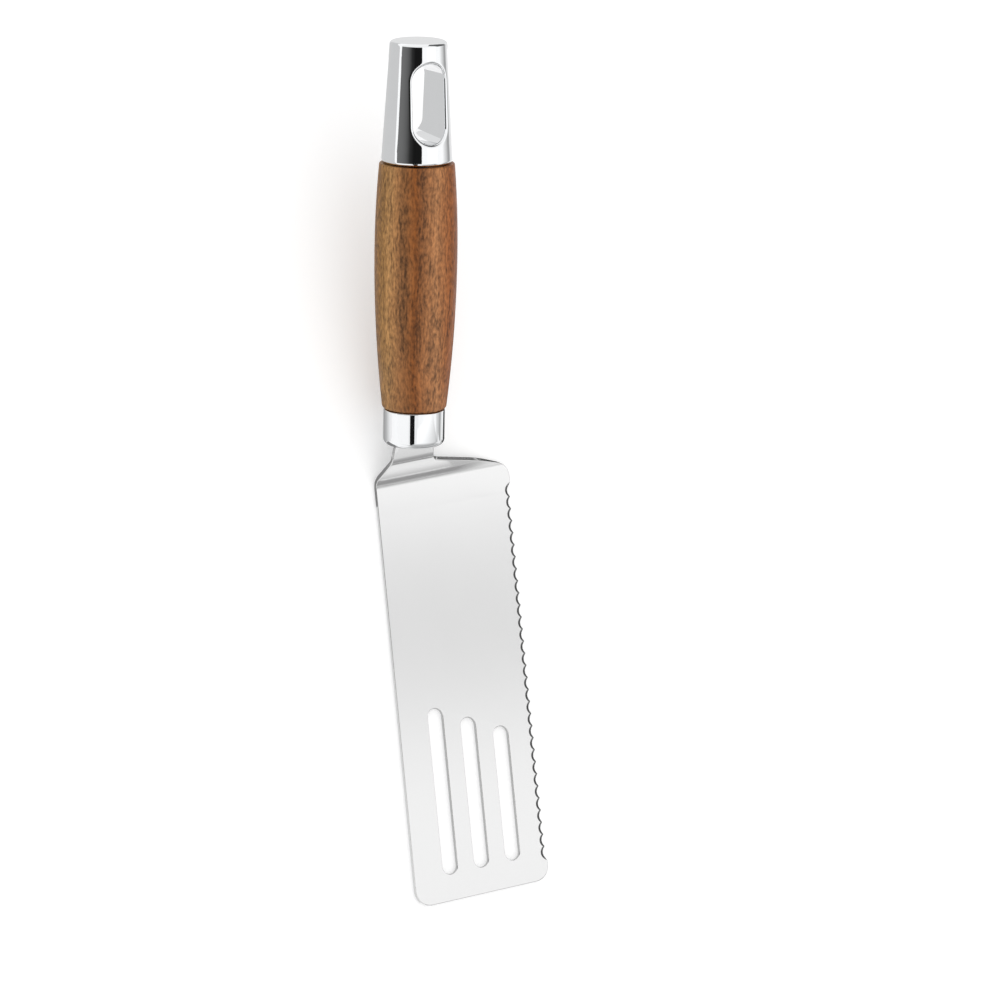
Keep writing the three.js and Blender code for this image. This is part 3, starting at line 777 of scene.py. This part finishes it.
def swaying_grain(tree):
    """A slow shift of the grain to and fro."""
    wave = noise(tree, (120, 55, 120))["Color"]
    parts = {0: wave, 1: (GRAIN_SWAY, 0.0, GRAIN_SWAY), 2: (-GRAIN_SWAY / 2, 0.0, -GRAIN_SWAY / 2)}
    return add_node(tree, "VectorMath", parts, operation="MULTIPLY_ADD").outputs["Vector"]


def oiled_hardwood():
    finish, tree, shader = new_finish("oiled_hardwood", handle_place)
    sway = swaying_grain(tree)
    place = shifted(tree, sway)
    ribbons = noise(tree, (420, 9, 420), detail=3.0, warp=sway)["Fac"]
    fibres = noise(tree, (1700, 110, 1700), detail=4.0, warp=sway)["Fac"]
    flecks = noise(tree, (1500, 560, 1500), detail=2.0, warp=sway)["Fac"]
    grain = blend(tree, blend(tree, ribbons, fibres, share=0.5), flecks, share=0.45)
    wood = add_node(tree, "Mix", {
        MIX_SHARE: between(tree, grain, 0.0, 1.0, start=0.37, end=0.62),
        MIX_DARK: layer_and_light_colours(tree, place, DARK_GRAIN),
        MIX_LIGHT: layer_and_light_colours(tree, place, LIGHT_GRAIN),
    }, data_type="RGBA")
    tree.links.new(wood.outputs[MIX_COLOUR], shader.inputs["Base Color"])
    tree.links.new(between(tree, grain, low=0.5, high=0.38), shader.inputs["Roughness"])
    shader.inputs["Specular IOR Level"].default_value = 0.2
    raise_grain(tree, shader, blend(tree, fibres, flecks, share=0.5), depth=4e-5)
    return finish


hardwood = oiled_hardwood()
print("finish:", hardwood.name)

# %% [markdown]
# ## The grip
# A turned barrel: it swells to a little behind its middle, tapers to the ferrule, and has a round at each
# end. Inside are the bore for the core rod and a counterbore for its nut; a tenon fills the ferrule. Two
# parabolas that meet at the swell give the side; a spline would do, but a formula has no stray bumps.

# %% Turn the grip
GRIP_LENGTH = 0.0792
GRIP_FRONT_RADIUS = 0.0102
GRIP_SWELL_RADIUS = 0.0132
GRIP_REAR_RADIUS = 0.012
GRIP_SWELL_AT = 0.0505
GRIP_FRONT_ROUND = 0.0012
GRIP_REAR_ROUND = 0.0005
COUNTERBORE_RADIUS = 0.0075
COUNTERBORE_DEPTH = 0.024
ROD_RADIUS = 0.003
SIDE_STEPS = 80

tenon_radius = FERRULE_RADIUS - FERRULE_WALL - CLEARANCE
grip_front = FERRULE_LENGTH + CLEARANCE
grip_rear = grip_front + GRIP_LENGTH


def grip_radius(along):
    to_front = along < GRIP_SWELL_AT
    end = GRIP_FRONT_RADIUS if to_front else GRIP_REAR_RADIUS
    span = GRIP_SWELL_AT if to_front else GRIP_LENGTH - GRIP_SWELL_AT
    return GRIP_SWELL_RADIUS - (GRIP_SWELL_RADIUS - end) * ((along - GRIP_SWELL_AT) / span) ** 2


def grip_side():
    places = even_steps(GRIP_FRONT_ROUND, GRIP_LENGTH - GRIP_REAR_ROUND, SIDE_STEPS)
    return [(grip_radius(along), grip_front + along) for along in places]


def grip_profile():
    bore = ROD_RADIUS + CLEARANCE
    front = (grip_radius(GRIP_FRONT_ROUND) - GRIP_FRONT_ROUND, grip_front + GRIP_FRONT_ROUND)
    rear_radius = grip_radius(GRIP_LENGTH - GRIP_REAR_ROUND)
    rear = (rear_radius - GRIP_REAR_ROUND, grip_rear - GRIP_REAR_ROUND)
    return [
        (bore, tenon_front),
        (tenon_radius, tenon_front),
        (tenon_radius, grip_front),
        *quarter(front, GRIP_FRONT_ROUND, -90, 0)[:-1],
        *grip_side(),
        *quarter(rear, GRIP_REAR_ROUND, 0, 90)[1:],
        (COUNTERBORE_RADIUS, grip_rear),
        (COUNTERBORE_RADIUS, grip_rear - COUNTERBORE_DEPTH),
        (bore, grip_rear - COUNTERBORE_DEPTH),
        (bore, tenon_front),
    ]


grip = make_object("turned_grip", turned(grip_profile()), hardwood, handle_place)
cut_away(grip, tang_slot_tool(0.0, TANG_LENGTH + CLEARANCE))
finish_piece(grip, "wood_grip")

# %% [markdown]
# ## The end cap
# A tapered casting with mirror chrome closes the handle. A spigot holds it in the wood's counterbore, and a
# round-ended slot goes through it, to hang the tool by. Its side is straight, so two radii describe it.

# %% Sizes of the cap
CAP_LENGTH = 0.0387
CAP_BASE_RADIUS = 0.0115
CAP_END_RADIUS = 0.0091
CAP_BASE_ROUND = 0.0012
CAP_END_ROUND = 0.0011
SPIGOT_LENGTH = 0.012
SPIGOT_CHAMFER = 0.0008
HANG_SLOT_WIDTH = 0.0112
HANG_SLOT_LENGTH = 0.0253
HANG_RIM_ROUND = 0.0013
WINDOW_MARGIN = 0.0032
WINDOW_COLUMNS = 56
WINDOW_ROWS = 40
WINDOW_RINGS = 8
MATCH_DIGITS = 7

cap_base = grip_rear + CLEARANCE
cap_end = cap_base + CAP_LENGTH
slot_reach = HANG_SLOT_LENGTH / 2 - HANG_SLOT_WIDTH / 2


def cap_radius(along):
    return CAP_BASE_RADIUS + (CAP_END_RADIUS - CAP_BASE_RADIUS) * (along - cap_base) / CAP_LENGTH


print("hang slot in mm:", in_mm(HANG_SLOT_WIDTH, HANG_SLOT_LENGTH))

# %% [markdown]
# ### A grid with two windows
# A mirror shows every flaw of a mesh, and a boolean leaves ragged triangles round a hole. So the cap is a
# grid round the axis with two windows left open, front and back. Rings lead from each window's border to the
# slot's rim, over its round and down the passage, so that the quads flow with the shape.

# %% Build the cap
def cap_profile():
    """The cap's side from spigot to end; its rows in the middle are those of the windows."""
    spigot = COUNTERBORE_RADIUS - CLEARANCE
    front = cap_base - SPIGOT_LENGTH
    base = (cap_radius(cap_base + CAP_BASE_ROUND) - CAP_BASE_ROUND, cap_base + CAP_BASE_ROUND)
    end = (cap_radius(cap_end - CAP_END_ROUND) - CAP_END_ROUND, cap_end - CAP_END_ROUND)
    low = HANG_SLOT_AT - HANG_SLOT_LENGTH / 2 - WINDOW_MARGIN
    high = HANG_SLOT_AT + HANG_SLOT_LENGTH / 2 + WINDOW_MARGIN
    rows = even_steps(low, high, WINDOW_ROWS)
    before = [
        (spigot - SPIGOT_CHAMFER, front),
        (spigot, front + SPIGOT_CHAMFER),
        (spigot, cap_base),
        *quarter(base, CAP_BASE_ROUND, -90, 0),
    ]
    profile = before + [(cap_radius(along), along) for along in rows] + quarter(end, CAP_END_ROUND, 0, 90)
    return profile, len(before)


def cap_surface(x, along, side, depth=0.0):
    """Point on the cap over x, on the front or back, at a depth under the surface."""
    return Vector((x, along, side * (math.sqrt(cap_radius(along) ** 2 - x ** 2) - depth)))


def on_slot(point, margin):
    """The slot's outline, grown by a margin, nearest to a point (x, along)."""
    reach = max(-slot_reach, min(slot_reach, point.y - HANG_SLOT_AT))
    middle = Vector((0.0, HANG_SLOT_AT + reach))
    return middle + (point - middle).normalized() * (HANG_SLOT_WIDTH / 2 + margin)


def window_rings(border, side):
    """Rings of points from a window's border to the slot's straight passage."""
    rings = []
    for share in even_steps(0.0, 1.0, WINDOW_RINGS)[1:]:
        ring = [point.lerp(on_slot(point, HANG_RIM_ROUND), share) for point in border]
        rings.append([cap_surface(point.x, point.y, side) for point in ring])
    for margin, depth in round_over(HANG_RIM_ROUND, QUARTER_STEPS)[1:]:
        ring = [on_slot(point, margin) for point in border]
        rings.append([cap_surface(point.x, point.y, side, depth) for point in ring])
    return rings


def window_border(grid, first_row, middle):
    """Vertices round a window of the grid, walked once round; middle is its middle column."""
    last_row = first_row + WINDOW_ROWS
    half = WINDOW_COLUMNS // 2
    columns = [(middle + step) % ROUND_SIDES for step in range(-half, half + 1)]
    rows = list(range(first_row, last_row + 1))
    border = [grid[first_row][column] for column in columns[:-1]]
    border += [grid[row][columns[-1]] for row in rows[:-1]]
    border += [grid[last_row][column] for column in reversed(columns[1:])]
    border += [grid[row][columns[0]] for row in reversed(rows[1:])]
    return border


def in_window(row, column, first_row, middle):
    from_middle = (column - middle + WINDOW_COLUMNS // 2) % ROUND_SIDES
    return first_row <= row < first_row + WINDOW_ROWS and from_middle < WINDOW_COLUMNS


def seen_from_front(vertex):
    """A vertex's place without its depth, rounded so that front and back agree."""
    return round(vertex.co.x, MATCH_DIGITS), round(vertex.co.y, MATCH_DIGITS)


def cap_shape():
    shape = bmesh.new()
    profile, first_row = cap_profile()
    turns = even_steps(0.0, 2 * math.pi, ROUND_SIDES)[:-1]
    grid = []
    for radius, along in profile:
        ring = [(radius * math.sin(turn), along, radius * math.cos(turn)) for turn in turns]
        grid.append([shape.verts.new(point) for point in ring])
    windows = (0, ROUND_SIDES // 2)
    for row, (lower, upper) in enumerate(zip(grid, grid[1:])):
        for column in range(ROUND_SIDES):
            if any(in_window(row, column, first_row, middle) for middle in windows):
                continue
            after = (column + 1) % ROUND_SIDES
            shape.faces.new((lower[column], lower[after], upper[after], upper[column]))
    shape.faces.new(grid[0])
    shape.faces.new(grid[-1])
    front = window_border(grid, first_row, windows[0])
    back = window_border(grid, first_row, windows[1])
    mirrored = {seen_from_front(vertex): vertex for vertex in back}
    back = [mirrored[seen_from_front(vertex)] for vertex in front]
    border = [vertex.co.to_2d() for vertex in front]
    passages = []
    for vertices, side in ((front, 1), (back, -1)):
        rings = [vertices]
        for ring in window_rings(border, side):
            rings.append([shape.verts.new(point) for point in ring])
        join_rings(shape, rings)
        passages.append(rings[-1])
    join_rings(shape, passages)
    return shape


mirror_chrome = polished_metal("mirror_chrome", (0.86, 0.87, 0.88), (0.89, 0.90, 0.91), 0.035)
cap = make_object("chromed_cap", cap_shape(), mirror_chrome, handle_place)
finish_piece(cap, "end_cap")

# %% [markdown]
# ## What is inside the handle
# Rod, cross pin, washer and nut hold the handle together and never show. Their solids are right as they are,
# so they stay, and only get a plain turned-steel finish.

# %% Plain steel for the inner pieces
def turned_steel():
    finish, tree, shader = new_finish("turned_steel")
    lines = noise(tree, (300, 4000, 300), detail=3.0)["Fac"]
    steel = colours(tree, lines, (0.3, (0.60, 0.605, 0.61)), (0.7, (0.70, 0.705, 0.71)))
    roughness = between(tree, lines, low=0.38, high=0.5)
    make_metal(tree, shader, steel, roughness, lines, depth=4e-6)
    return finish


plain_steel = turned_steel()
for name in ("core_rod", "tang_pin", "clamp_washer", "clamp_nut"):
    node = frame["nodes"][name]
    node.data.materials.clear()
    node.data.materials.append(plain_steel)
    print(name, "keeps its solid")

# %% [markdown]
# ## A white studio
# The tool lies on a white floor under an even white sky, with one large soft lamp. Floor and sky look white
# to the camera and in mirrors, by the Light Path node, while the light that they give stays at a plain
# level. A brighter sky would do it too, but would wash out the wood.

# %% Floor, sky and lamp
FLOOR_SIZE = 6.0
FLOOR_DROP = 0.0003
FLOOR_COLOUR = (0.8, 0.8, 0.8, 1.0)
FLOOR_LIFT = 0.3
WHITE = (1.0, 1.0, 1.0, 1.0)
SKY_LIGHT = 0.92
LAMP_SIZE = 1.8
LAMP_POWER = 5.0
LAMP_PLACE = Vector((0.15, 0.0, 1.8))


def seen_directly(tree):
    """One where a camera, mirror or glass ray looks, and nothing for other light."""
    path = tree.nodes.new("ShaderNodeLightPath").outputs
    seen = path["Is Camera Ray"]
    for ray in ("Is Glossy Ray", "Is Transmission Ray"):
        seen = add_node(tree, "Math", {0: seen, 1: path[ray]}, operation="MAXIMUM").outputs["Value"]
    return seen


def empty_material(name):
    finish = bpy.data.materials.new(name)
    finish.use_nodes = True
    finish.node_tree.nodes.clear()
    return finish, finish.node_tree


def white_floor():
    finish, tree = empty_material("white_floor")
    matt = add_node(tree, "BsdfDiffuse", {"Color": FLOOR_COLOUR})
    amount = add_node(tree, "Math", {0: seen_directly(tree), 1: FLOOR_LIFT}, operation="MULTIPLY")
    lift = add_node(tree, "Emission", {"Strength": amount.outputs["Value"]})
    both = add_node(tree, "AddShader", {0: matt.outputs["BSDF"], 1: lift.outputs["Emission"]})
    add_node(tree, "OutputMaterial", {"Surface": both.outputs["Shader"]})
    return finish


def white_sky():
    world = bpy.data.worlds.new("white_sky")
    world.use_nodes = True
    tree = world.node_tree
    tree.nodes.clear()
    light = add_node(tree, "Background", {"Color": WHITE, "Strength": SKY_LIGHT}).outputs["Background"]
    white = add_node(tree, "Background", {"Color": WHITE}).outputs["Background"]
    choose = add_node(tree, "MixShader", {"Fac": seen_directly(tree), 1: light, 2: white})
    add_node(tree, "OutputWorld", {"Surface": choose.outputs["Shader"]})
    return world


floor_shape = bmesh.new()
bmesh.ops.create_grid(floor_shape, x_segments=1, y_segments=1, size=FLOOR_SIZE / 2)
floor_place = Matrix.Translation((0, 0, -FLOOR_DROP))
floor = make_object("studio_floor", floor_shape, white_floor(), floor_place)

bpy.context.scene.world = white_sky()
lamp_data = bpy.data.lights.new("soft_lamp", "AREA")
lamp_data.size = LAMP_SIZE
lamp_data.energy = LAMP_POWER
lamp = bpy.data.objects.new("soft_lamp", lamp_data)
lamp.location = LAMP_PLACE
lamp.rotation_euler = (LAMP_PLACE - CAMERA_AIM).to_track_quat("Z", "Y").to_euler()
lamp.visible_glossy = False
bpy.context.scene.collection.objects.link(lamp)
print("sky light:", SKY_LIGHT, "lamp in watts:", LAMP_POWER)

# %% [markdown]
# ## Cards for the mirrors
# In an all-white room chrome looks like white plastic. A photographer sets up black and grey cards and soft
# boxes, and the metal shows them as bands. Real ones would also light the wood, so these show in reflections
# only, and cast no light or shadow. Each is a strip of faces whose glow fades along one of its axes.

# %% Cards that only mirrors see
CARD_RADIUS = 0.5
CARD_STEPS = 24
CARD_HEIGHT = -0.0001
CARD_GAP = 0.0003
BEND_CARD_LEAN = math.radians(5)

camera_angle = math.atan2(to_camera.dot(handle_side), to_camera.dot(handle_up))
bend_place = Matrix.Translation((*bend_start, 0)) @ Matrix.Rotation(SKEW, 4, "Z")


def plain(tone):
    """One tone all over a card."""
    return ((0.0, tone),)


def glow(name, axis, stops):
    """Light that fades along one of a card's axes; stops are (place in metres, strength)."""
    finish, tree = empty_material(name)
    strongest = max(strength for place, strength in stops)
    light = add_node(tree, "Emission", {"Strength": strongest})
    add_node(tree, "OutputMaterial", {"Surface": light.outputs["Emission"]})
    if len(stops) > 1:
        split = add_node(tree, "SeparateXYZ", {"Vector": object_place(tree)})
        tones = greys((place, strength / strongest) for place, strength in stops)
        tree.links.new(colours_along(tree, split.outputs[axis], tones), light.inputs["Color"])
    return finish


def only_in_mirrors(name, rows, axis, stops, place=Matrix()):
    """A card between rows of two points, which lights and shades nothing but shows in the metal."""
    shape = bmesh.new()
    rows = [[shape.verts.new(point) for point in row] for row in rows]
    for (a, b), (d, c) in zip(rows, rows[1:]):
        shape.faces.new((a, b, c, d))
    card = make_object(name, shape, glow(name, axis, stops), place)
    card.visible_camera = False
    card.visible_diffuse = False
    card.visible_shadow = False
    card.visible_transmission = False
    print("card:", name)
    return card


def clear_from_behind(card):
    """Lets a card's back through, so that it shows on one side only."""
    tree = card.data.materials[0].node_tree
    behind = tree.nodes.new("ShaderNodeNewGeometry").outputs["Backfacing"]
    light = tree.nodes["Emission"].outputs["Emission"]
    clear = tree.nodes.new("ShaderNodeBsdfTransparent").outputs["BSDF"]
    side = add_node(tree, "MixShader", {"Fac": behind, 1: light, 2: clear})
    tree.links.new(side.outputs["Shader"], tree.nodes["Material Output"].inputs["Surface"])


def bent_card(name, angles, reach, stops):
    """Bent round the handle between angles in degrees from the camera's side; fades along X."""
    rows = []
    for angle in even_steps(*angles, CARD_STEPS):
        turn = camera_angle + math.radians(angle)
        way = Vector((math.sin(turn), 0, math.cos(turn))) * CARD_RADIUS
        rows.append([way + Vector((0, along, 0)) for along in reach])
    only_in_mirrors(name, rows, "X", stops, handle_place)


def standing_card(name, foot, radius, angles, height, stops):
    """Upright and bent round a foot point, between angles in degrees from -Y to +X; fades along Z."""
    rows = []
    for turn in map(math.radians, even_steps(*angles, CARD_STEPS)):
        base = foot + radius * Vector((math.sin(turn), -math.cos(turn), 0))
        rows.append([base + Vector((0, 0, z)) for z in (CARD_HEIGHT, height)])
    only_in_mirrors(name, rows, "Z", stops)


def lying_card(name, x_range, y_range, height, stops, axis):
    """Flat over the floor between two x and two y; fades along X or Y."""
    rows = [[(x, y, height) for x in x_range] for y in y_range]
    only_in_mirrors(name, rows, axis, stops)


def riser_card(name, along, across, stops):
    """Lies on the blade before the bend line, bright from above and clear from below."""
    rows = [[(x, y, SHEET + CARD_GAP) for x in along] for y in across]
    clear_from_behind(only_in_mirrors(name, rows, "Y", stops, bend_place))


def bend_card(name, along, foot, height, stops, axis):
    """Stands over the blade before the bend line and leans from the neck, which alone sees it."""
    lean = math.tan(BEND_CARD_LEAN)
    rows = [[(x, foot - lean * z, z) for x in reversed(along)] for z in height]
    clear_from_behind(only_in_mirrors(name, rows, axis, stops, bend_place))


print("camera stands at", round(math.degrees(camera_angle), 1), "degrees round the handle")

# %% [markdown]
# ### Bands along the handle
# A round mirror squeezes the room into bands along its axis. Flat cards would do, but cards bent round the
# handle keep the bands even. A dark card with a grey side gives the cap its dark band, a narrow one the
# black line on the ferrule, and a soft box on each side the bright ones.

# %% Set up the cards round the handle
dark_tones = ((-0.5, 0.17), (-0.45, 0.12), (-0.38, 0.03), (-0.3, 0.01))
bent_card("dark_card", angles=(-66, 16), reach=(-0.045, 0.3), stops=dark_tones)
bent_card("ferrule_card", angles=(-13.5, 3.5), reach=(-1.2, -0.06), stops=plain(0.01))
bent_card("soft_box", angles=(17, 92), reach=(-0.3, 0.3), stops=plain(1.1))
bent_card("left_box", angles=(-62, -19), reach=(-0.3, -0.06), stops=plain(1.1))

# %% [markdown]
# ### Greys from below and above
# The sides of the handle, the walls of the slots and the edges of the sheet mirror the floor, so grey paper
# lies just under the tool. A panel over the blade, brighter at its ends, gives the sheet its slow change of
# tone. A gradient in the steel would do that from one side only.

# %% Set up the cards on the floor and the panel
PANEL_HEIGHT = 0.28

ferrule_tones = ((-0.054, 1.0), (-0.043, 0.95), (-0.036, 0.76), (-0.03, 0.52), (-0.025, 0.4), (-0.02, 0.36))
right_floor_tones = ((0.05, 0.9), (0.13, 0.8), (0.16, 0.4), (0.6, 0.35))
floor_cards = (
    ("left_floor_card", (-0.24, -0.02), (0.105, 0.3), plain(0.65)),
    ("ferrule_floor_card", (-0.054, -0.02), (0.08, 0.1), ferrule_tones),
    ("end_floor_card", (-0.02, 0.06), (0.207, 0.28), plain(0.8)),
    ("right_floor_card", (0.05, 0.6), (-0.2, 0.35), right_floor_tones),
    ("slot_card", (-0.018, 0.019), (-0.062, -0.003), plain(0.55)),
    ("edge_card", (0.022, 0.045), (-0.065, 0.075), plain(0.18)),
    ("spine_card", (-0.036, -0.022), (-0.068, 0.062), plain(0.8)),
    ("riser_edge_card", (-0.036, -0.017), (0.062, 0.0795), plain(0.25)),
    ("shoulder_card", (-0.006, 0.03), (0.072, 0.12), plain(0.1)),
)
for name, x_range, y_range, tones in floor_cards:
    lying_card(name, x_range, y_range, CARD_HEIGHT, tones, axis="X")
panel_tones = (
    (-0.052, 1.14), (-0.035, 1.13), (-0.018, 1.07), (0.0, 0.92), (0.012, 0.84), (0.04, 0.83),
    (0.05, 0.88), (0.06, 1.0), (0.07, 1.15), (0.09, 1.25), (0.14, 1.3),
)
lying_card("blade_panel", (0.03, 0.23), (-0.052, 0.14), PANEL_HEIGHT, panel_tones, axis="Y")

# %% [markdown]
# ### The crank between cards
# The bends and the riser face forward and would mirror an empty room. A tall dark card in front draws the
# bends. Near the bend line, two small cards lie on the blade and set the riser's tone, and two stand there
# for the lower bend and the neck. These four show on one side only, so that the blade doesn't mirror them. A
# card behind and one to the right darken the far edges.

# %% Set up the cards at the crank
crank_foot = Vector((-0.01, 0.072, 0.0))
crank_tones = (
    (0.0, 0.42), (0.1, 0.36), (0.2, 0.33), (0.3, 0.36),
    (0.36, 0.46), (0.41, 0.62), (0.46, 0.78), (0.54, 0.95),
)
standing_card("crank_card", crank_foot, radius=0.35, angles=(-5, 50), height=0.54, stops=crank_tones)
riser_reach = (-0.009, 0.0015)
riser_tones = (
    (-0.009, 1.13), (-0.005, 1.13), (-0.0035, 1.06), (-0.002, 0.92), (-0.0005, 0.74), (0.0015, 0.56),
)
riser_card("riser_card", (-0.01, 0.0285), riser_reach, riser_tones)
side_tones = ((-0.009, 0.7), (-0.005, 0.7), (-0.003, 0.65), (-0.0015, 0.6), (0.0015, 0.55))
riser_card("riser_side_card", (0.0285, 0.05), riser_reach, side_tones)
bend_tones = (
    (0.02, 0.4), (0.032, 0.5), (0.045, 0.76), (0.057, 0.9), (0.066, 1.05), (0.075, 1.2), (0.09, 1.2),
)
bend_card("bend_card", (-0.01, 0.075), foot=-0.009, height=(0.02, 0.09), stops=bend_tones, axis="Z")
end_tones = ((0.036, 0.42), (0.042, 0.6), (0.047, 0.82), (0.055, 0.95))
bend_card("bend_end_card", (0.036, 0.085), foot=-0.0085, height=(0.001, 0.03), stops=end_tones, axis="X")
standing_card("rear_card", crank_foot, radius=0.4, angles=(115, 165), height=0.33, stops=plain(0.12))
right_foot = Vector((-0.013, 0.13, 0.0))
right_tones = ((0.0, 0.45), (0.06, 0.6), (0.12, 0.72), (0.18, 0.82), (0.24, 1.0))
standing_card("right_card", right_foot, radius=0.6, angles=(58, 100), height=0.24, stops=right_tones)
